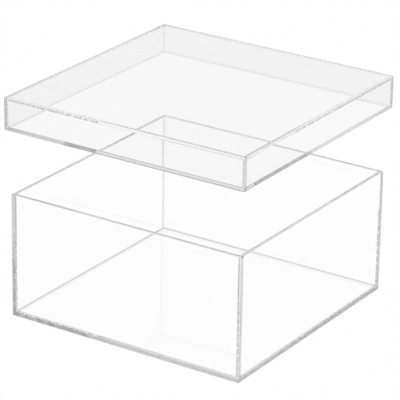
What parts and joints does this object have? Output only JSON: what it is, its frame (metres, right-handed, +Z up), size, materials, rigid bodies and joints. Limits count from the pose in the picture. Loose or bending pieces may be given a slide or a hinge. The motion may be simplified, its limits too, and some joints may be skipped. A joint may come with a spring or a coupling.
{
  "type": "storage box",
  "caption": "Square clear acrylic storage box, open at the top, with a shallow lid that drops over its rim, shown raised above the box.",
  "frame": {"origin": "centre of the box's underside, on the surface that it stands on", "axes": "+Z up, the way the lid lifts off; -Y towards the front wall; +X towards the right wall"},
  "size_m": [0.1548, 0.1548, 0.13],
  "materials": {
    "box_acrylic": "clear polished acrylic sheet",
    "lid_acrylic": "clear polished acrylic sheet"
  },
  "bodies": {
    "box": {"base_panel": "box_acrylic", "front_wall": "box_acrylic", "right_wall": "box_acrylic", "back_wall": "box_acrylic", "left_wall": "box_acrylic"},
    "lid": {"lid_top_panel": "lid_acrylic", "lid_front_skirt": "lid_acrylic", "lid_right_skirt": "lid_acrylic", "lid_back_skirt": "lid_acrylic", "lid_left_skirt": "lid_acrylic"}
  },
  "joints": [
    {"name": "lid_lift", "type": "slide", "parent": "box", "child": "lid", "axis": [0, 0, 1], "range_m": [-0.055, 0.01]}
  ]
}
